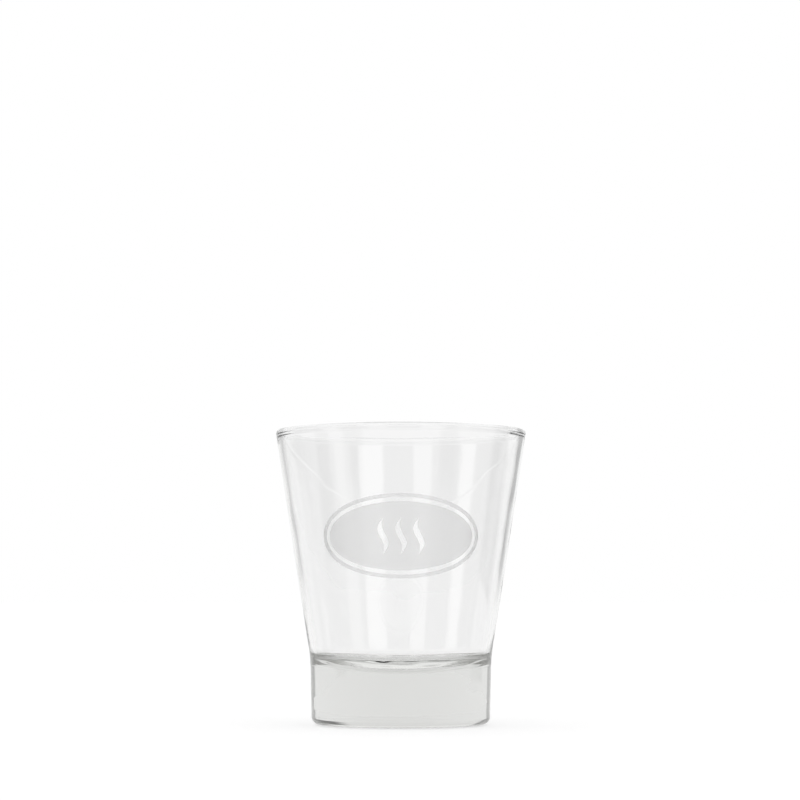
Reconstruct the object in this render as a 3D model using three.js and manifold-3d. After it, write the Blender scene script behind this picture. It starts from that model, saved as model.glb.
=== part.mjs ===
// Espresso glass: a clear pressed-glass tumbler with a satin enamel print on its front.
// Millimetres, +Z up. The origin lies on the axis, at the level that the glass stands on. The print faces -Y.
import * as THREE from "three";
import { mergeVertices } from "three/addons/utils/BufferGeometryUtils.js";
import Module from "manifold-3d";

// Outside of the glass
const RIM_DIAMETER = 61.0;
const HEIGHT = 71.3;
const FOOT_DIAMETER = 43.2;
const FOOT_TOP_DIAMETER = 44.0;
const FOOT_HEIGHT = 16.0;
const FOOT_EDGE_RADIUS = 2.0;
const WAIST_RADIUS = 25.0;

// Round lip, a little thicker than the wall, which it runs into on the inside
const LIP_THICKNESS = 1.64;
const LIP_DROP = 1.8;
const LIP_EDGE_RADIUS = 0.3;
const LIP_FILLET_RADIUS = 1.0;

// Inside of the glass: the floor is a shallow bowl that rises towards the wall
const BASE_THICKNESS = 12.5;
const WALL_AT_LIP = 1.3;
const WALL_AT_FLOOR = 1.5;
const FLOOR_RISE = 3.3;
const FLOOR_RADIUS = 2.0;

// Shallow dish in the underside, so that the glass stands on a ring
const DISH_DIAMETER = 29.0;
const DISH_DEPTH = 0.4;

// Satin print: an oval field inside a thin oval border, measured along the wall
const PRINT_HEIGHT = 44.9;
const FIELD_WIDTH = 36.0;
const FIELD_TALL = 16.0;
const BORDER_GAP = 1.0;
const BORDER_WIDTH = 0.9;
const PRINT_THICKNESS = 0.12;
const PRINT_CLEARANCE = 0.05;

// Wisps of steam left bare in the field
const WISP_COUNT = 3;
const WISP_SPACING = 4.2;
const WISP_TALL = 8.4;
const WISP_WIDTH = 1.5;
const WISP_SWAY = 0.75;

// Fineness of the round surfaces
const TURN_SEGMENTS = 72;
const ARC_STEP = THREE.MathUtils.degToRad(12);
const BOWL_STEPS = 8;
const OVAL_POINTS = 64;
const WISP_STEPS = 12;

const wasm = await Module();
wasm.setup();

// Points of an outline of [radius, height, rounding] corners, with each rounding drawn as an arc.
// Two roundings that need more than the side between them share its length.
function roundedOutline(corners) {
  const places = corners.map(([radius, height]) => new THREE.Vector2(radius, height));
  const halfAngles = places.map((place, index) => {
    if (!corners[index][2]) return Math.PI / 2;
    const before = places[index - 1].clone().sub(place);
    const after = places[index + 1].clone().sub(place);
    return Math.acos(before.dot(after) / (before.length() * after.length())) / 2;
  });
  const wanted = corners.map(([, , rounding], index) => rounding / Math.tan(halfAngles[index]));
  const shares = places.slice(1).map((place, index) => {
    return Math.min(1, place.distanceTo(places[index]) / (wanted[index] + wanted[index + 1]));
  });
  return places.flatMap((place, index) => {
    if (!corners[index][2]) return [place];
    const before = places[index - 1].clone().sub(place).normalize();
    const after = places[index + 1].clone().sub(place).normalize();
    const reach = wanted[index] * Math.min(shares[index - 1], shares[index]);
    const bisector = before.clone().add(after).normalize();
    const centre = place.clone().addScaledVector(bisector, reach / Math.cos(halfAngles[index]));
    const start = place.clone().addScaledVector(before, reach);
    const turn = Math.sign(after.cross(before)) * (Math.PI - 2 * halfAngles[index]);
    const steps = Math.max(2, Math.ceil(Math.abs(turn) / ARC_STEP));
    return Array.from({ length: steps + 1 }, (_, step) => {
      return start.clone().rotateAround(centre, (turn * step) / steps);
    });
  });
}

// A turned solid: the outline goes round +Z, with a seam of its facets on -Y.
function turned(outline) {
  return new THREE.LatheGeometry(outline, TURN_SEGMENTS).rotateX(Math.PI / 2);
}

// The bowl's outer wall is a straight line from the top of the foot that touches the round lip on its outside.
const lipRadius = LIP_THICKNESS / 2;
const footToLip = new THREE.Vector2(
  (RIM_DIAMETER - FOOT_TOP_DIAMETER) / 2 - lipRadius,
  HEIGHT - lipRadius - FOOT_HEIGHT,
);
const wallLean = Math.atan2(footToLip.x, footToLip.y) + Math.asin(lipRadius / footToLip.length());

// Radius of that line at a height.
function wallRadius(height) {
  return FOOT_TOP_DIAMETER / 2 + (height - FOOT_HEIGHT) * Math.tan(wallLean);
}

// Point of the inside at a height, where the glass has a given thickness.
function insidePoint(height, thickness) {
  return new THREE.Vector2(wallRadius(height) - thickness / Math.cos(wallLean), height);
}

// Half section of a shallow round bowl, from the axis at a height out to its edge, which lies a rise above that.
function bowlArc(reach, height, rise) {
  const curve = (reach ** 2 + rise ** 2) / (2 * rise);
  return Array.from({ length: BOWL_STEPS + 1 }, (_, step) => {
    const radius = (reach * step) / BOWL_STEPS;
    const above = curve - Math.sign(rise) * Math.sqrt(curve ** 2 - radius ** 2);
    return new THREE.Vector2(radius, height + above);
  });
}

// Where the line through a point at a slope meets the line from one place to another.
function lineMeeting(point, slope, from, to) {
  const along = new THREE.Vector2(Math.cos(slope), Math.sin(slope));
  const other = to.clone().sub(from);
  const share = from.clone().sub(point).cross(other) / along.cross(other);
  return point.clone().addScaledVector(along, share);
}

// Half section of the glass, from the axis below, round the foot and the lip, to the axis on the inner floor.
function tumblerOutline() {
  const lipTop = insidePoint(HEIGHT, LIP_THICKNESS);
  const lipMiddle = insidePoint(HEIGHT - lipRadius, LIP_THICKNESS);
  const lipFoot = insidePoint(HEIGHT - LIP_DROP, WALL_AT_LIP);
  const innerFoot = insidePoint(BASE_THICKNESS, WALL_AT_FLOOR);
  const floorReach = innerFoot.x - FLOOR_RADIUS / 2;
  const floor = bowlArc(floorReach, BASE_THICKNESS, FLOOR_RISE).reverse();
  const edgeSlope = 2 * Math.atan(FLOOR_RISE / floorReach);
  const floorCorner = lineMeeting(floor[0], edgeSlope, innerFoot, lipFoot);
  const underside = bowlArc(DISH_DIAMETER / 2, DISH_DEPTH, -DISH_DEPTH);
  const shell = roundedOutline([
    [...underside[BOWL_STEPS], 0],
    [FOOT_DIAMETER / 2, 0, FOOT_EDGE_RADIUS],
    [FOOT_TOP_DIAMETER / 2, FOOT_HEIGHT, WAIST_RADIUS],
    [wallRadius(HEIGHT), HEIGHT, lipRadius],
    [...lipTop, lipRadius],
    [...lipMiddle, LIP_EDGE_RADIUS],
    [...lipFoot, LIP_FILLET_RADIUS],
    [...floorCorner, FLOOR_RADIUS],
    [...floor[0], 0],
  ]);
  return [...underside.slice(0, -1), ...shell, ...floor.slice(1)];
}

// A geometry's closed surface as a solid that can be joined and cut.
function solidOf(geometry) {
  const bare = geometry.clone();
  bare.deleteAttribute("normal");
  bare.deleteAttribute("uv");
  const merged = mergeVertices(bare);
  const vertProperties = new Float32Array(merged.attributes.position.array);
  const triVerts = new Uint32Array(merged.index.array);
  return new wasm.Manifold(new wasm.Mesh({ numProp: 3, vertProperties, triVerts }));
}

// A solid's surface as a geometry.
function geometryOf(solid) {
  const mesh = solid.getMesh();
  const geometry = new THREE.BufferGeometry();
  geometry.setAttribute("position", new THREE.BufferAttribute(mesh.vertProperties, 3));
  geometry.setIndex(new THREE.BufferAttribute(mesh.triVerts, 1));
  geometry.computeVertexNormals();
  return geometry;
}

// Where a point of the flat artwork lands, seen from the front, once it is wrapped round the wall.
function wrapped(across, up) {
  const radius = wallRadius(PRINT_HEIGHT + up);
  return new THREE.Vector2(radius * Math.sin(across / radius), up);
}

// Points of an oval of the flat artwork, wrapped round the wall.
function ovalPoints(width, tall) {
  return Array.from({ length: OVAL_POINTS }, (_, index) => {
    const angle = (2 * Math.PI * index) / OVAL_POINTS;
    return wrapped((width / 2) * Math.cos(angle), (tall / 2) * Math.sin(angle));
  });
}

// Points of one wisp: a swaying stroke that swells in its middle and comes to a point at both ends.
function wispPoints(across) {
  const rising = [];
  const falling = [];
  for (let step = 0; step <= WISP_STEPS; step += 1) {
    const share = step / WISP_STEPS;
    const up = (share - 0.5) * WISP_TALL;
    const middle = across + WISP_SWAY * Math.sin(2 * Math.PI * share);
    const half = (WISP_WIDTH / 2) * Math.sin(Math.PI * share);
    rising.push(wrapped(middle + half, up));
    falling.unshift(wrapped(middle - half, up));
  }
  return [...rising, ...falling.slice(1, -1)];
}

// A patch of the print: the part of a thin skin round the wall that lies behind a flat shape.
function printPatch(shape) {
  const outside = PRINT_CLEARANCE + PRINT_THICKNESS;
  const innerEdge = new THREE.Vector2(wallRadius(FOOT_HEIGHT) + PRINT_CLEARANCE, FOOT_HEIGHT);
  const skin = turned([
    innerEdge,
    new THREE.Vector2(wallRadius(FOOT_HEIGHT) + outside, FOOT_HEIGHT),
    new THREE.Vector2(wallRadius(HEIGHT) + outside, HEIGHT),
    new THREE.Vector2(wallRadius(HEIGHT) + PRINT_CLEARANCE, HEIGHT),
    innerEdge,
  ]);
  const prism = new THREE.ExtrudeGeometry(shape, { depth: RIM_DIAMETER, bevelEnabled: false });
  prism.rotateX(Math.PI / 2).translate(0, 0, PRINT_HEIGHT);
  return geometryOf(solidOf(skin).intersect(solidOf(prism)));
}

// The oval field, with its wisps left bare.
function fieldShape() {
  const shape = new THREE.Shape(ovalPoints(FIELD_WIDTH, FIELD_TALL));
  for (let index = 0; index < WISP_COUNT; index += 1) {
    const across = (index - (WISP_COUNT - 1) / 2) * WISP_SPACING;
    shape.holes.push(new THREE.Path(wispPoints(across)));
  }
  return shape;
}

// The thin oval line round the field.
function borderShape() {
  const inner = 2 * BORDER_GAP;
  const outer = 2 * (BORDER_GAP + BORDER_WIDTH);
  const shape = new THREE.Shape(ovalPoints(FIELD_WIDTH + outer, FIELD_TALL + outer));
  shape.holes.push(new THREE.Path(ovalPoints(FIELD_WIDTH + inner, FIELD_TALL + inner)));
  return shape;
}

const clearGlass = new THREE.MeshStandardMaterial({
  color: 0xf3f6f4,
  roughness: 0.03,
  metalness: 0,
  transparent: true,
  opacity: 0.35,
});
const satinEnamel = new THREE.MeshStandardMaterial({
  color: 0xdedede,
  roughness: 0.75,
  metalness: 0,
});

function named(name, geometry, material) {
  const mesh = new THREE.Mesh(geometry, material);
  mesh.name = name;
  return mesh;
}

const espressoGlass = new THREE.Group();
espressoGlass.add(
  named("glass_tumbler", turned(tumblerOutline()), clearGlass),
  named("print_field", printPatch(fieldShape()), satinEnamel),
  named("print_border", printPatch(borderShape()), satinEnamel),
);

export default espressoGlass;
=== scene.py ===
"""Looks of an espresso glass: a clear pressed-glass tumbler with a satin oval print on its front.

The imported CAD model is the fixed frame. Sizes in the classes are in millimetres, and meshes are in metres.
"""

from __future__ import annotations

import logging
import math
from dataclasses import dataclass
from enum import Enum

import bmesh
import bpy
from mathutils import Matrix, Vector


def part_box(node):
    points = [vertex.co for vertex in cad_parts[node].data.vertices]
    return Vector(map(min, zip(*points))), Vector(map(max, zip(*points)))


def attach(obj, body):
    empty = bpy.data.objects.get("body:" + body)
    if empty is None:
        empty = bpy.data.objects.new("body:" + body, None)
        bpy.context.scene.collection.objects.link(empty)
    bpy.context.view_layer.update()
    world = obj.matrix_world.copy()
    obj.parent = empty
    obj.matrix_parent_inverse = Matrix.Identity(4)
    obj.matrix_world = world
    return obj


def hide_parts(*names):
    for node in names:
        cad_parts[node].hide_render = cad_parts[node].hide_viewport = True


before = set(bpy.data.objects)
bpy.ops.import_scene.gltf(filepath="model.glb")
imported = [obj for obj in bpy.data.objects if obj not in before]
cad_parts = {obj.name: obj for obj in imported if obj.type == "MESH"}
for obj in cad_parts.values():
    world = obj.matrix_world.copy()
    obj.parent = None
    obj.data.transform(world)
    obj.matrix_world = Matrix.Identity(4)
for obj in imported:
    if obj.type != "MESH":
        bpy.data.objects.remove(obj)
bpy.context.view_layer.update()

MM = 0.001
ON_AXIS = 1e-6  # a radius below this lies on the axis
NOISE_LOW = 0.3  # most of a noise texture lies between these two values
NOISE_HIGH = 0.7
WHITE = (1.0, 1.0, 1.0, 1.0)
LOG = logging.getLogger("espresso_glass")

Colour = tuple[float, float, float, float]


class Slot(Enum):
    """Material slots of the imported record."""

    GLASS = "clear_glass"
    ENAMEL = "satin_enamel"


class Node(Enum):
    """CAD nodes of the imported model."""

    TUMBLER = "glass_tumbler"
    FIELD = "print_field"
    BORDER = "print_border"


class ShaderGraph:
    """A small helper that adds shader nodes to a node tree and joins them."""

    def __init__(self, tree: bpy.types.NodeTree) -> None:
        """Starts from an empty tree.

        Args:
            tree: The node tree of a material or of the world.
        """
        self.tree = tree
        tree.nodes.clear()

    def add(self, kind: str, **inputs: object) -> bpy.types.Node:
        """Adds a node and sets or links its inputs.

        Args:
            kind: Blender's name of the node type.
            **inputs: Input names, with _ for a space, and a value or an output socket for each.

        Returns:
            The new node.
        """
        node = self.tree.nodes.new(kind)
        for name, value in inputs.items():
            self.feed(node.inputs[name.replace("_", " ")], value)
        return node

    def feed(self, socket: bpy.types.NodeSocket, value: object) -> None:
        """Sets an input to a value, or links it to an output.

        Args:
            socket: The input.
            value: A number, a colour or an output socket.
        """
        if isinstance(value, bpy.types.NodeSocket):
            self.tree.links.new(value, socket)
        else:
            socket.default_value = value

    def math(self, operation: str, *values: object) -> bpy.types.NodeSocket:
        """Adds a Math node.

        Args:
            operation: Blender's name of the operation.
            *values: Numbers or output sockets, in order.

        Returns:
            The node's output.
        """
        node = self.tree.nodes.new("ShaderNodeMath")
        node.operation = operation
        for socket, value in zip(node.inputs, values):
            self.feed(socket, value)
        return node.outputs[0]

    def smooth(self, value: bpy.types.NodeSocket, start: float, end: float,
               low: object = 0.0, high: object = 1.0) -> bpy.types.NodeSocket:
        """Maps a value from one stretch to another with soft ends.

        Args:
            value: The output to map.
            start: Value that gives low.
            end: Value that gives high.
            low: Result at start and before.
            high: Result at end and after.

        Returns:
            The mapped output.
        """
        node = self.add("ShaderNodeMapRange", From_Min=start, From_Max=end, To_Min=low, To_Max=high)
        node.interpolation_type = "SMOOTHSTEP"
        self.feed(node.inputs["Value"], value)
        return node.outputs["Result"]

    def mixed(self, share: object, first: bpy.types.NodeSocket,
              second: bpy.types.NodeSocket) -> bpy.types.NodeSocket:
        """Mixes two shaders.

        Args:
            share: Share of the second one, a number or an output socket.
            first: The first shader.
            second: The second shader.

        Returns:
            The mixed shader.
        """
        node = self.add("ShaderNodeMixShader")
        for socket, value in zip(node.inputs, (share, first, second)):
            self.feed(socket, value)
        return node.outputs["Shader"]

    def off_axis(self, place: bpy.types.Node) -> bpy.types.NodeSocket:
        """Gives the distance from the upright axis.

        Args:
            place: A Separate XYZ node.

        Returns:
            The distance.
        """
        squares = [self.math("POWER", place.outputs[axis], 2.0) for axis in ("X", "Y")]
        return self.math("SQRT", self.math("ADD", *squares))

    def within(self, way: bpy.types.Node, angle: float, half_width: float,
               softness: float) -> bpy.types.NodeSocket:
        """Tells how far a direction lies within an upright strip with soft edges.

        Args:
            way: A Separate XYZ node of the direction, or of a place seen from the axis.
            angle: Angle of the strip's middle from +Y towards +X, in degrees.
            half_width: Half of the strip's width, in degrees.
            softness: Width of its soft edges, in degrees.

        Returns:
            1 inside the strip and 0 outside it.
        """
        turn = self.math("ARCTAN2", way.outputs["X"], way.outputs["Y"])
        aside = self.math("SUBTRACT", turn, math.radians(angle))
        aside = self.math("ABSOLUTE", self.math("WRAP", aside, math.pi, -math.pi))
        inner = math.radians(half_width - softness / 2)
        outer = math.radians(half_width + softness / 2)
        return self.smooth(aside, inner, outer, 1.0, 0.0)

    def reflected(self) -> bpy.types.NodeSocket:
        """Gives 1 on light paths that have been reflected, and 0 on the others."""
        return self.math("GREATER_THAN", self.add("ShaderNodeLightPath").outputs["Glossy Depth"], 0.0)


def new_material(name: str) -> tuple[bpy.types.Material, ShaderGraph]:
    """Makes an empty node material.

    Args:
        name: The material's name.

    Returns:
        The material and its shader graph.
    """
    material = bpy.data.materials.new(name)
    material.use_nodes = True
    return material, ShaderGraph(material.node_tree)


@dataclass(frozen=True)
class ClearGlass:
    """Finish of the tumbler: colourless glass with a faint mould ripple and a worn standing ring."""

    refraction: float = 1.52
    tint: Colour = (0.940, 0.941, 0.936, 1.0)
    density: float = 100.0
    ripple_scale: float = 90.0
    ripple_detail: float = 1.0
    ripple_depth: float = 0.1
    ring_radius: float = 14.5
    ring_softness: float = 0.5
    ring_height: float = 0.3
    wear_scale: float = 1400.0
    wear_detail: float = 4.0
    wear_roughness: tuple[float, float] = (0.12, 0.34)

    def _wear(self, graph: ShaderGraph, place: bpy.types.NodeSocket) -> bpy.types.NodeSocket:
        """Dulls the ring that the glass stands on, as tables do, and leaves the rest bright.

        Args:
            graph: The material's shader graph.
            place: Object coordinates.

        Returns:
            The roughness.
        """
        part = graph.add("ShaderNodeSeparateXYZ", Vector=place)
        ring_start = (self.ring_radius - self.ring_softness) * MM
        ring = graph.smooth(graph.off_axis(part), ring_start, self.ring_radius * MM)
        top = self.ring_height * MM
        low = graph.smooth(part.outputs["Z"], top / 2, top, 1.0, 0.0)
        scuffs = graph.add("ShaderNodeTexNoise", Vector=place, Scale=self.wear_scale, Detail=self.wear_detail)
        rough = graph.smooth(scuffs.outputs["Fac"], NOISE_LOW, NOISE_HIGH, *self.wear_roughness)
        return graph.math("MULTIPLY", rough, graph.math("MULTIPLY", ring, low))

    def material(self) -> bpy.types.Material:
        """Makes the glass material.

        Returns:
            The material.
        """
        material, graph = new_material("clear_glass")
        place = graph.add("ShaderNodeTexCoord").outputs["Object"]
        ripple = graph.add("ShaderNodeTexNoise", Vector=place, Scale=self.ripple_scale,
                           Detail=self.ripple_detail)
        bump = graph.add("ShaderNodeBump", Height=ripple.outputs["Fac"], Strength=1.0,
                         Distance=self.ripple_depth * MM)
        shader = graph.add("ShaderNodeBsdfPrincipled", Base_Color=WHITE, Roughness=self._wear(graph, place),
                           IOR=self.refraction, Transmission_Weight=1.0, Normal=bump.outputs["Normal"])
        inside = graph.add("ShaderNodeVolumeAbsorption", Color=self.tint, Density=self.density)
        graph.add("ShaderNodeOutputMaterial", Surface=shader.outputs["BSDF"], Volume=inside.outputs["Volume"])
        return material


@dataclass(frozen=True)
class SatinEnamel:
    """Finish of the print: a fired-on film that scatters the light going through it."""

    colour: Colour = WHITE
    fleck_colour: Colour = (0.93, 0.93, 0.93, 1.0)
    grain_scale: float = 2600.0
    grain_detail: float = 3.0
    grain_strength: float = 0.4
    grain_depth: float = 0.04
    roughness: float = 0.45
    roughness_spread: float = 0.1
    refraction: float = 1.5
    clear_share: float = 0.9
    open_share: float = 0.5

    def _flecks(self, graph: ShaderGraph, grain: bpy.types.NodeSocket) -> bpy.types.NodeSocket:
        """Mixes the film's colour and its flecks by the grain.

        Args:
            graph: The material's shader graph.
            grain: The grain, from 0 to 1.

        Returns:
            The colour.
        """
        mix = graph.add("ShaderNodeMix")
        mix.data_type = "RGBA"
        sockets = {socket.identifier: socket for socket in (*mix.inputs, *mix.outputs)}
        graph.feed(sockets["Factor_Float"], grain)
        graph.feed(sockets["A_Color"], self.fleck_colour)
        graph.feed(sockets["B_Color"], self.colour)
        return sockets["Result_Color"]

    def material(self) -> bpy.types.Material:
        """Makes the enamel material.

        Returns:
            The material.
        """
        material, graph = new_material("satin_enamel")
        place = graph.add("ShaderNodeTexCoord").outputs["Object"]
        noise = graph.add("ShaderNodeTexNoise", Vector=place, Scale=self.grain_scale,
                          Detail=self.grain_detail)
        grain = noise.outputs["Fac"]
        rough = graph.smooth(grain, NOISE_LOW, NOISE_HIGH, self.roughness - self.roughness_spread,
                             self.roughness + self.roughness_spread)
        bump = graph.add("ShaderNodeBump", Height=grain, Strength=self.grain_strength,
                         Distance=self.grain_depth * MM)
        shader = graph.add("ShaderNodeBsdfPrincipled", Base_Color=self._flecks(graph, grain), Roughness=rough,
                           IOR=self.refraction, Transmission_Weight=self.clear_share,
                           Normal=bump.outputs["Normal"])
        between = graph.add("ShaderNodeBsdfTransparent")
        film = graph.mixed(self.open_share, shader.outputs["BSDF"], between.outputs["BSDF"])
        graph.add("ShaderNodeOutputMaterial", Surface=film)
        return material


@dataclass
class Corner:
    """A corner of a half section, in millimetres, with the radius that rounds it."""

    radius: float
    height: float
    rounding: float = 0.0

    def place(self) -> Vector:
        """Gives the corner as a point of the half section."""
        return Vector((self.radius, self.height))


@dataclass
class Outline:
    """A half section made of corners, drawn with round arcs and finely divided straight stretches."""

    corners: list[Corner]
    arc_step: float = math.radians(6.0)
    least_arc_steps: int = 3
    longest_step: float = 1.5

    def points(self) -> list[Vector]:
        """Draws the half section.

        Returns:
            Its points, in millimetres, from the first corner to the last.
        """
        drawn: list[Vector] = []
        for index in range(len(self.corners)):
            for point in self._corner_points(index):
                if drawn:
                    drawn.extend(self._between(drawn[-1], point))
                drawn.append(point)
        return drawn

    def _between(self, start: Vector, end: Vector) -> list[Vector]:
        """Divides a straight stretch.

        Args:
            start: First end, which is left out.
            end: Other end, which is left out too.

        Returns:
            The points between them.
        """
        count = max(1, math.ceil((end - start).length / self.longest_step))
        return [start.lerp(end, step / count) for step in range(1, count)]

    def _sides(self, index: int) -> tuple[Vector, Vector]:
        """Gives the ways from a corner to the one before and the one after it.

        Args:
            index: Which corner.

        Returns:
            The two ways.
        """
        place = self.corners[index].place()
        return self.corners[index - 1].place() - place, self.corners[index + 1].place() - place

    def _reach(self, index: int) -> float:
        """Tells how far along its sides a corner's rounding starts.

        Args:
            index: Which corner.

        Returns:
            The distance, 0 for a sharp corner.
        """
        rounding = self.corners[index].rounding
        if not rounding:
            return 0.0
        before, after = self._sides(index)
        return rounding / math.tan(before.angle(after) / 2)

    def _corner_points(self, index: int) -> list[Vector]:
        """Draws one corner.

        Args:
            index: Which corner.

        Returns:
            The corner itself, or the points of its arc.
        """
        corner = self.corners[index].place()
        reach = self._reach(index)
        if not reach:
            return [corner]
        before, after = self._sides(index)
        for side, other in ((before, index - 1), (after, index + 1)):
            reach *= min(1.0, side.length / (reach + self._reach(other)))
        half = before.angle(after) / 2
        before.normalize()
        after.normalize()
        centre = corner + (before + after).normalized() * (reach / math.cos(half))
        spoke = corner + before * reach - centre
        turn = math.copysign(math.pi - 2 * half, after.x * before.y - after.y * before.x)
        steps = max(self.least_arc_steps, math.ceil(abs(turn) / self.arc_step))
        found = []
        for step in range(steps + 1):
            cosine = math.cos(turn * step / steps)
            sine = math.sin(turn * step / steps)
            out = spoke.x * cosine - spoke.y * sine
            up = spoke.x * sine + spoke.y * cosine
            found.append(centre + Vector((out, up)))
        return found


def bowl_arc(reach: float, height: float, rise: float, steps: int = 24) -> list[Vector]:
    """Draws the half section of a shallow round bowl, from the axis outwards.

    Args:
        reach: Radius of the bowl's edge.
        height: Height of its middle.
        rise: How far its edge lies above its middle, below 0 for a dish in the underside.
        steps: Number of stretches.

    Returns:
        Its points, in millimetres.
    """
    curve = (reach**2 + rise**2) / (2 * rise)
    points = []
    for step in range(steps + 1):
        radius = reach * step / steps
        above = curve - math.copysign(math.sqrt(curve**2 - radius**2), rise)
        points.append(Vector((radius, height + above)))
    return points


def line_meeting(start: Vector, along: Vector, other_start: Vector, other_end: Vector) -> Vector:
    """Finds where two lines of a half section meet.

    Args:
        start: A point of the first line.
        along: The first line's direction.
        other_start: A point of the second line.
        other_end: Another point of the second line.

    Returns:
        The common point.
    """
    other = other_end - other_start
    offset = other_start - start
    share = offset.cross(other) / along.cross(other)
    return start + along * share


def mesh_object(name: str, body: bmesh.types.BMesh) -> bpy.types.Object:
    """Turns a finished bmesh into a smooth object in the scene.

    Args:
        name: The piece's name.
        body: The mesh, which is freed.

    Returns:
        The new object.
    """
    bmesh.ops.recalc_face_normals(body, faces=body.faces)
    for face in body.faces:
        face.smooth = True
    mesh = bpy.data.meshes.new(name)
    body.to_mesh(mesh)
    body.free()
    piece = bpy.data.objects.new(name, mesh)
    bpy.context.scene.collection.objects.link(piece)
    return piece


@dataclass(frozen=True)
class Swell:
    """One of the faint swells that pressing leaves on the inner floor.

    Its length is in millimetres, its heading in degrees and its start in radians.
    """

    length: float
    heading: float
    start: float

    def level(self, across: float, along: float) -> float:
        """Gives the swell's level at a place of the floor, from -1 to 1."""
        heading = math.radians(self.heading)
        travelled = across * math.cos(heading) + along * math.sin(heading)
        return math.sin(2 * math.pi * travelled / self.length + self.start)


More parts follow.
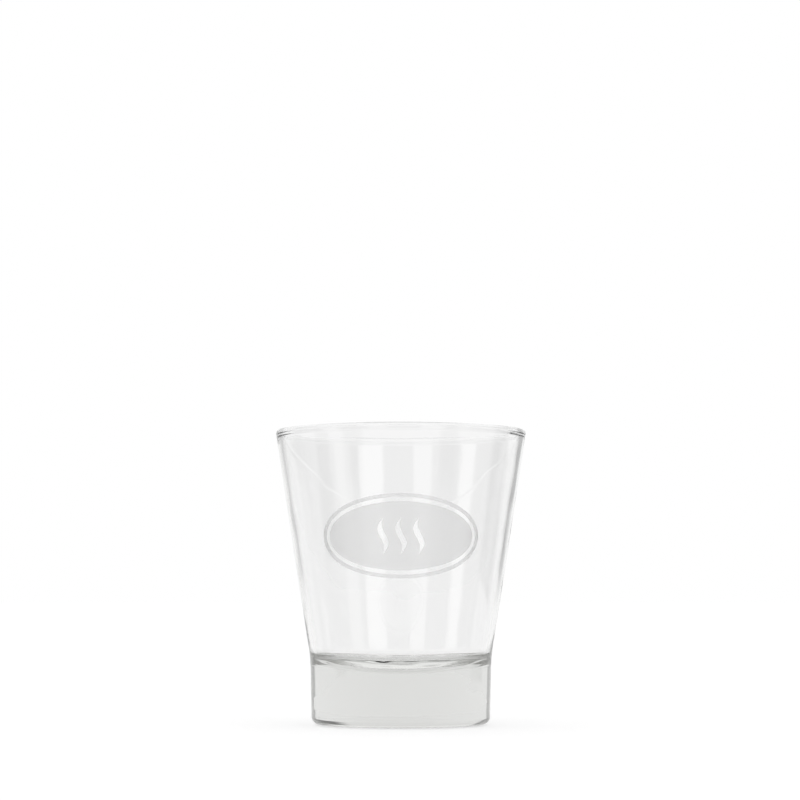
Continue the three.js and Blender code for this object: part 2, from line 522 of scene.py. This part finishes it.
@dataclass
class Tumbler:
    """The glass itself: foot, conical bowl and lip turned in one piece, with an uneven inner floor."""

    finish: ClearGlass = ClearGlass()
    foot_diameter: float = 43.2
    foot_top_diameter: float = 44.0
    foot_height: float = 16.0
    foot_edge_radius: float = 2.0
    waist_radius: float = 25.0
    lip_thickness: float = 1.64
    lip_drop: float = 1.8
    lip_edge_radius: float = 0.3
    lip_fillet_radius: float = 1.0
    base_thickness: float = 12.5
    wall_at_lip: float = 1.3
    wall_at_floor: float = 1.5
    floor_rise: float = 3.3
    floor_radius: float = 2.0
    dish_diameter: float = 29.0
    dish_depth: float = 0.4
    segments: int = 192
    swell_height: float = 0.025
    swell_fade: float = 3.0
    swells: tuple[Swell, ...] = (
        Swell(6.7, 15.5, 0.4),
        Swell(7.6, 115.0, 2.1),
        Swell(6.4, -59.5, 4.0),
        Swell(4.8, 83.5, 1.2),
    )

    def __post_init__(self) -> None:
        """Takes the rim and the height from the CAD node."""
        low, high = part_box(Node.TUMBLER.value)
        self.height = (high.z - low.z) / MM
        self.rim_diameter = (high.x - low.x) / MM

    def wall_lean(self) -> float:
        """Gives the angle of the bowl's outer wall, which touches the round lip on its outside.

        Returns:
            The angle from upright, in radians.
        """
        lip = self.lip_thickness / 2
        out = (self.rim_diameter - self.foot_top_diameter) / 2 - lip
        up = self.height - lip - self.foot_height
        return math.atan2(out, up) + math.asin(lip / math.hypot(out, up))

    def wall_radius(self, height: float) -> float:
        """Gives the radius of the bowl's outer wall at a height."""
        return self.foot_top_diameter / 2 + (height - self.foot_height) * math.tan(self.wall_lean())

    def inside_point(self, height: float, thickness: float) -> Vector:
        """Gives the point of the inside at a height, where the glass has a given thickness."""
        return Vector((self.wall_radius(height) - thickness / math.cos(self.wall_lean()), height))

    def floor_reach(self) -> float:
        """Gives the radius at which the inner floor's bowl form ends."""
        return self.inside_point(self.base_thickness, self.wall_at_floor).x - self.floor_radius / 2

    def floor_lift(self, across: float, along: float) -> float:
        """Tells how far the swells lift the inner floor at a place. They die out towards its edge.

        Args:
            across: The place along X, in millimetres.
            along: The place along Y, in millimetres.

        Returns:
            The lift, in millimetres.
        """
        inwards = (self.floor_reach() - math.hypot(across, along)) / self.swell_fade
        fade = min(1.0, max(0.0, inwards))
        return fade * self.swell_height * sum(swell.level(across, along) for swell in self.swells)

    def half_section(self) -> list[Vector]:
        """Draws the half section, from the axis below, round the outside and the lip, to the inner floor.

        Returns:
            Its points, in millimetres.
        """
        lip = self.lip_thickness / 2
        lip_top = self.inside_point(self.height, self.lip_thickness)
        lip_middle = self.inside_point(self.height - lip, self.lip_thickness)
        lip_foot = self.inside_point(self.height - self.lip_drop, self.wall_at_lip)
        inner_foot = self.inside_point(self.base_thickness, self.wall_at_floor)
        floor = bowl_arc(self.floor_reach(), self.base_thickness, self.floor_rise)
        slope = 2 * math.atan(self.floor_rise / self.floor_reach())
        floor_way = Vector((math.cos(slope), math.sin(slope)))
        floor_corner = line_meeting(floor[-1], floor_way, inner_foot, lip_foot)
        underside = bowl_arc(self.dish_diameter / 2, self.dish_depth, -self.dish_depth)
        shell = Outline([
            Corner(*underside[-1]),
            Corner(self.foot_diameter / 2, 0.0, self.foot_edge_radius),
            Corner(self.foot_top_diameter / 2, self.foot_height, self.waist_radius),
            Corner(self.wall_radius(self.height), self.height, lip),
            Corner(*lip_top, lip),
            Corner(*lip_middle, self.lip_edge_radius),
            Corner(*lip_foot, self.lip_fillet_radius),
            Corner(*floor_corner, self.floor_radius),
            Corner(*floor[-1]),
        ])
        return underside[:-1] + shell.points() + floor[-2::-1]

    def _ring(self, body: bmesh.types.BMesh, point: Vector) -> list[bmesh.types.BMVert]:
        """Turns one point of the half section.

        Args:
            body: The mesh to add to.
            point: The point, in millimetres.

        Returns:
            The ring's vertices, or a single one on the axis.
        """
        if point.x < ON_AXIS:
            return [body.verts.new((0.0, 0.0, point.y * MM))]
        ring = []
        for segment in range(self.segments):
            angle = 2 * math.pi * segment / self.segments
            place = Vector((point.x * math.sin(angle), -point.x * math.cos(angle), point.y))
            ring.append(body.verts.new(place * MM))
        return ring

    def build(self) -> bpy.types.Object:
        """Turns the half section into the glass and dresses it.

        Returns:
            The finished piece.
        """
        body = bmesh.new()
        rings = [self._ring(body, point) for point in self.half_section()]
        for lower, upper in zip(rings, rings[1:]):
            for segment in range(self.segments):
                following = (segment + 1) % self.segments
                corners = [lower[segment % len(lower)], lower[following % len(lower)],
                           upper[following % len(upper)], upper[segment % len(upper)]]
                body.faces.new(list(dict.fromkeys(corners)))
        for vertex in body.verts:
            if vertex.co.z > self.base_thickness / 2 * MM:
                vertex.co.z += self.floor_lift(vertex.co.x / MM, vertex.co.y / MM) * MM
        piece = mesh_object("tumbler", body)
        piece.data.materials.append(self.finish.material())
        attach(piece, "root")
        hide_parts(Node.TUMBLER.value)
        return piece


@dataclass
class SatinPrint:
    """The print on the front: an oval field with wisps of steam left bare, and the thin line round it."""

    wall: Tumbler
    finish: SatinEnamel = SatinEnamel()
    middle_height: float = 44.9
    field_width: float = 36.0
    field_tall: float = 16.0
    border_gap: float = 1.0
    border_width: float = 0.9
    thickness: float = 0.12
    clearance: float = 0.05
    wisp_count: int = 3
    wisp_spacing: float = 4.2
    wisp_tall: float = 8.4
    wisp_width: float = 1.5
    wisp_sway: float = 0.75
    oval_steps: int = 160
    wisp_steps: int = 24
    cell: float = 0.8
    sharp_angle: float = 40.0

    def _oval(self, margin: float) -> list[Vector]:
        """Draws an oval of the flat artwork.

        Args:
            margin: How far it lies outside the field's edge.

        Returns:
            Its points, in millimetres.
        """
        wide = self.field_width / 2 + margin
        tall = self.field_tall / 2 + margin
        turns = [2 * math.pi * step / self.oval_steps for step in range(self.oval_steps)]
        return [Vector((wide * math.cos(turn), tall * math.sin(turn))) for turn in turns]

    def _wisp(self, across: float) -> list[Vector]:
        """Draws one wisp: a swaying stroke that swells in its middle and comes to a point at both ends.

        Args:
            across: Place of its middle, in millimetres.

        Returns:
            Its points, in millimetres.
        """
        rising = []
        falling = []
        for step in range(self.wisp_steps + 1):
            share = step / self.wisp_steps
            up = (share - 0.5) * self.wisp_tall
            middle = across + self.wisp_sway * math.sin(2 * math.pi * share)
            half = self.wisp_width / 2 * math.sin(math.pi * share)
            rising.append(Vector((middle + half, up)))
            falling.append(Vector((middle - half, up)))
        return rising + falling[-2:0:-1]

    def _on_wall(self, place: Vector) -> Vector:
        """Wraps a point of the flat artwork round the wall.

        Args:
            place: How far it lies across, up and out from the back of the film, in millimetres.

        Returns:
            The point, in metres.
        """
        height = self.middle_height + place.y
        wall = self.wall.wall_radius(height)
        radius = wall + self.clearance + place.z
        turn = place.x / wall
        return Vector((radius * math.sin(turn), -radius * math.cos(turn), height)) * MM

    def _divide(self, body: bmesh.types.BMesh, axis: Vector) -> None:
        """Cuts a flat film into narrow bands, so that it can follow the wall.

        Args:
            body: The film.
            axis: Direction across the bands.
        """
        reach = max(vertex.co.dot(axis) for vertex in body.verts)
        count = math.floor(reach / self.cell)
        for step in range(-count, count + 1):
            everything = body.verts[:] + body.edges[:] + body.faces[:]
            bmesh.ops.bisect_plane(body, geom=everything, plane_co=axis * (step * self.cell), plane_no=axis)

    def _film(self, name: str, loops: list[list[Vector]]) -> bpy.types.Object:
        """Makes a film of enamel from its outlines.

        Args:
            name: The piece's name.
            loops: Outer outline and holes of the flat artwork.

        Returns:
            The film, wrapped round the wall.
        """
        body = bmesh.new()
        edges = []
        for loop in loops:
            corners = [body.verts.new((point.x, point.y, 0.0)) for point in loop]
            edges.extend(body.edges.new(pair) for pair in zip(corners, corners[1:] + corners[:1]))
        bmesh.ops.triangle_fill(body, use_beauty=True, edges=edges)
        for axis in (Vector((1.0, 0.0, 0.0)), Vector((0.0, 1.0, 0.0))):
            self._divide(body, axis)
        front = bmesh.ops.extrude_face_region(body, geom=body.faces[:], use_keep_orig=True)
        for item in front["geom"]:
            if isinstance(item, bmesh.types.BMVert):
                item.co.z = self.thickness
        for vertex in body.verts:
            vertex.co = self._on_wall(vertex.co)
        film = mesh_object(name, body)
        film.data.set_sharp_from_angle(angle=math.radians(self.sharp_angle))
        return film

    def build(self) -> list[bpy.types.Object]:
        """Makes the field and the border, and gives them their enamel.

        Returns:
            The finished pieces.
        """
        enamel = self.finish.material()
        first = -(self.wisp_count - 1) / 2 * self.wisp_spacing
        wisps = [self._wisp(first + index * self.wisp_spacing) for index in range(self.wisp_count)]
        field = self._film("oval_field", [self._oval(0.0)] + wisps)
        margins = (self.border_gap + self.border_width, self.border_gap)
        border = self._film("oval_border", [self._oval(margin) for margin in margins])
        for piece, node in ((field, Node.FIELD), (border, Node.BORDER)):
            piece.data.materials.append(enamel)
            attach(piece, "root")
            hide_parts(node.value)
        return [field, border]


@dataclass(frozen=True)
class Strip:
    """An upright strip of the studio's wall, and the light that it adds, below 0 for a dark one.

    Its angle from +Y towards +X, its half width and the width of its soft edges are in degrees.
    """

    angle: float
    half_width: float
    level: float
    softness: float = 5.0

    def added_to(self, level: object, graph: ShaderGraph, way: bpy.types.Node) -> bpy.types.NodeSocket:
        """Adds the strip to a level of light.

        Args:
            level: Level of light without the strip.
            graph: The world's shader graph.
            way: A Separate XYZ node of the direction.

        Returns:
            The level of light with the strip.
        """
        share = graph.within(way, self.angle, self.half_width, self.softness)
        return graph.math("ADD", level, graph.math("MULTIPLY", share, self.level))


@dataclass(frozen=True)
class PaintedReflectionShade:
    """A painted reflection: a dark patch in the floor's glow that shows only in the glass's reflections, as
    dark upright streaks.

    Its angle, half width and side edges are in degrees. It lies between two distances from the axis.
    """

    angle: float
    half_width: float
    near: float = 200.0
    far: float = 800.0
    softness: float = 6.0
    end_softness: float = 0.1

    def painted_on(self, level: object, graph: ShaderGraph, place: bpy.types.Node) -> bpy.types.NodeSocket:
        """Paints the dark patch into the floor's glow, on reflected light paths only.

        Args:
            level: The floor's level of light without the patch.
            graph: The floor's shader graph.
            place: A Separate XYZ node of the place on the floor.

        Returns:
            The floor's level of light with the patch.
        """
        away = graph.off_axis(place)
        sooner = (1.0 - self.end_softness) * MM
        later = (1.0 + self.end_softness) * MM
        # painted reflection: the dark patch shows only on reflected light paths
        painted_share = graph.math("MULTIPLY", graph.reflected(),
                             graph.within(place, self.angle, self.half_width, self.softness))
        painted_share = graph.math("MULTIPLY", painted_share, graph.smooth(away, sooner * self.near, later * self.near))
        painted_share = graph.math("MULTIPLY", painted_share,
                             graph.smooth(away, sooner * self.far, later * self.far, 1.0, 0.0))
        return graph.smooth(painted_share, 0.0, 1.0, level, 0.0)


@dataclass(frozen=True)
class PaintedReflectionSheet:
    """A glowing grey sheet with soft edges that stands off the floor and shows only in the glass's
    reflections: a painted reflection.

    Its painted reflection gives the glass its dark outlines. Its angle, half width and soft sides are in
    degrees.
    """

    angle: float
    level: float
    half_width: float = 8.0
    away: float = 150.0
    bottom: float = 14.0
    fade_end: float = 34.0
    top: float = 90.0
    side_softness: float = 6.0
    top_softness: float = 16.0

    def _material(self, band_level: float) -> bpy.types.Material:
        """Makes the sheet's glowing grey, a painted reflection seen only on reflected light paths, which
        fades to the level of the studio's white band at its bottom.

        Args:
            band_level: The white band's level of light.

        Returns:
            The material.
        """
        material, graph = new_material("painted_reflection_sheet")
        position = graph.add("ShaderNodeNewGeometry").outputs["Position"]
        place = graph.add("ShaderNodeSeparateXYZ", Vector=position)
        height = place.outputs["Z"]
        level = graph.smooth(height, self.bottom * MM, self.fade_end * MM, band_level, self.level)
        glow = graph.add("ShaderNodeEmission", Color=WHITE, Strength=level)
        clear = graph.add("ShaderNodeBsdfTransparent")
        below = self.top - self.top_softness / 2
        above = self.top + self.top_softness / 2
        sides = graph.within(place, self.angle, self.half_width, self.side_softness)
        share = graph.math("MULTIPLY", sides, graph.smooth(height, below * MM, above * MM, 1.0, 0.0))
        # painted reflection: the sheet shows only on reflected light paths
        share = graph.math("MULTIPLY", share, graph.reflected())
        shown = graph.mixed(share, clear.outputs["BSDF"], glow.outputs["Emission"])
        graph.add("ShaderNodeOutputMaterial", Surface=shown)
        return material

    def build(self, band_level: float) -> bpy.types.Object:
        """Makes the sheet, which glows and shows only in reflections: a painted reflection.

        Args:
            band_level: The white band's level of light.

        Returns:
            The sheet.
        """
        half_width = self.half_width + self.side_softness / 2
        top = self.top + self.top_softness / 2
        body = bmesh.new()
        corners = []
        for side, height in ((-1, self.bottom), (1, self.bottom), (1, top), (-1, top)):
            turn = math.radians(self.angle + side * half_width)
            corner = Vector((self.away * math.sin(turn), self.away * math.cos(turn), height))
            corners.append(body.verts.new(corner * MM))
        body.faces.new(corners)
        reflection_sheet = mesh_object("reflection_sheet", body)
        reflection_sheet.data.materials.append(self._material(band_level))
        # hidden from the camera, from diffuse light and from shadows, so that it shows only as a painted
        # reflection in the glass
        reflection_sheet.visible_camera = False
        reflection_sheet.visible_diffuse = False
        reflection_sheet.visible_shadow = False
        return reflection_sheet


@dataclass
class Studio:
    """Floor, light and camera.

    The room is a band, a wall, a cove and a ceiling, one above another. The top of each is given by the two
    upward parts of a direction between which it blends into the next.
    """

    floor_size: float = 40000.0
    floor_drop: float = 0.2
    floor_albedo: float = 0.5
    floor_white: float = 0.6175
    floor_glow: float = 0.5175
    band_level: float = 0.93
    band_top: tuple[float, float] = (0.14, 0.20)
    wall_level: float = 0.15
    wall_top: tuple[float, float] = (0.45, 0.6)
    cove_level: float = 1.1
    cove_top: tuple[float, float] = (0.75, 0.88)
    ceiling_level: float = 0.75
    camera_distance: float = 600.6
    camera_height: float = 30.04
    camera_side: float = -0.2
    camera_tilt: float = 4.641
    camera_near: float = 10.0
    lens: float = 110.77
    bounces: int = 24  # the wall leads light from the rim down to the foot, which takes more than 12
    strips: tuple[Strip, ...] = (
        Strip(148.0, 13.0, 1.3),
        Strip(117.0, 9.0, 0.6),
        Strip(-157.0, 10.0, 1.0),
        Strip(-106.0, 9.0, 1.2),
        Strip(-13.0, 45.0, 0.75, 16.0),
    )
    gaps: tuple[Strip, ...] = (
        Strip(73.0, 7.0, -0.65),
        Strip(-73.0, 7.0, -0.65),
        Strip(107.0, 7.0, -0.65),
        Strip(-107.0, 7.0, -0.65),
    )
    # dark patches painted into the floor's glow, seen only in reflections: painted reflections
    reflection_shades: tuple[PaintedReflectionShade, ...] = (
        PaintedReflectionShade(72.0, 13.0),
        PaintedReflectionShade(-103.0, 8.0),
    )
    # glowing sheets seen only in reflections: painted reflections that give the glass its dark outlines
    reflection_sheets: tuple[PaintedReflectionSheet, ...] = (
        PaintedReflectionSheet(42.0, 0.5),
        PaintedReflectionSheet(-42.0, 0.65),
        PaintedReflectionSheet(138.0, 0.4, top=60.0),
        PaintedReflectionSheet(-138.0, 0.4, top=60.0),
    )

    def build(self) -> None:
        """Sets up everything that isn't part of the object."""
        self.floor()
        for reflection_sheet in self.reflection_sheets:
            reflection_sheet.build(self.band_level)
        self.world()
        self.camera()
        scene = bpy.context.scene
        scene.view_settings.view_transform = "Standard"
        scene.cycles.max_bounces = self.bounces
        scene.cycles.transmission_bounces = self.bounces
        scene.cycles.glossy_bounces = self.bounces

    def floor(self) -> None:
        """Lays the pale floor, which shows white to the camera and keeps the object's shadow."""
        material, graph = new_material("pale_floor")
        position = graph.add("ShaderNodeNewGeometry").outputs["Position"]
        place = graph.add("ShaderNodeSeparateXYZ", Vector=position)
        level: object = self.floor_glow
        # painted reflections: the dark patches lower the glow on reflected light paths only
        for reflection_shade in self.reflection_shades:
            level = reflection_shade.painted_on(level, graph, place)
        path = graph.add("ShaderNodeLightPath").outputs
        in_glass = graph.math("MAXIMUM", path["Is Glossy Ray"], path["Is Transmission Ray"])
        in_glass = graph.math("MULTIPLY", in_glass, level)
        to_camera = graph.math("MULTIPLY", path["Is Camera Ray"], self.floor_white)
        shown = graph.math("MAXIMUM", to_camera, in_glass)
        paint = graph.add("ShaderNodeBsdfDiffuse", Color=(self.floor_albedo,) * 3 + (1.0,))
        glow = graph.add("ShaderNodeEmission", Color=WHITE, Strength=shown)
        both = graph.add("ShaderNodeAddShader")
        graph.feed(both.inputs[0], paint.outputs["BSDF"])
        graph.feed(both.inputs[1], glow.outputs["Emission"])
        graph.add("ShaderNodeOutputMaterial", Surface=both.outputs["Shader"])
        body = bmesh.new()
        bmesh.ops.create_grid(body, x_segments=1, y_segments=1, size=self.floor_size / 2 * MM)
        floor = mesh_object("floor", body)
        floor.location.z = -self.floor_drop * MM
        floor.data.materials.append(material)

    def world(self) -> None:
        """Lights the room: a white band with dark gaps, a wall with strips, a cove and a ceiling."""
        world = bpy.data.worlds.new("studio")
        bpy.context.scene.world = world
        world.use_nodes = True
        graph = ShaderGraph(world.node_tree)
        direction = graph.add("ShaderNodeTexCoord").outputs["Generated"]
        way = graph.add("ShaderNodeSeparateXYZ", Vector=direction)
        band: object = self.band_level
        for gap in self.gaps:
            band = gap.added_to(band, graph, way)
        wall: object = self.wall_level
        for strip in self.strips:
            wall = strip.added_to(wall, graph, way)
        up = way.outputs["Z"]
        level = graph.smooth(up, *self.band_top, band, wall)
        level = graph.smooth(up, *self.wall_top, level, self.cove_level)
        level = graph.smooth(up, *self.cove_top, level, self.ceiling_level)
        light = graph.add("ShaderNodeBackground", Color=WHITE, Strength=level)
        white = graph.add("ShaderNodeBackground", Color=WHITE, Strength=1.0)
        seen = graph.add("ShaderNodeLightPath").outputs["Is Camera Ray"]
        room = graph.mixed(seen, light.outputs["Background"], white.outputs["Background"])
        graph.add("ShaderNodeOutputWorld", Surface=room)

    def camera(self) -> None:
        """Places the camera as in the photograph: level with the lower bowl and tilted up a little."""
        data = bpy.data.cameras.new("camera")
        data.lens = self.lens
        data.clip_start = self.camera_near * MM
        camera = bpy.data.objects.new("camera", data)
        camera.location = Vector((self.camera_side, -self.camera_distance, self.camera_height)) * MM
        camera.rotation_euler = (math.radians(90.0 + self.camera_tilt), 0.0, 0.0)
        bpy.context.scene.collection.objects.link(camera)
        bpy.context.scene.camera = camera


def main() -> None:
    """Builds the glass, its print and the studio, in that order."""
    logging.basicConfig(level=logging.INFO)
    tumbler = Tumbler()
    LOG.info("built %s", tumbler.build().name)
    for piece in SatinPrint(tumbler).build():
        LOG.info("built %s", piece.name)
    Studio().build()


if __name__ == "__main__":
    main()
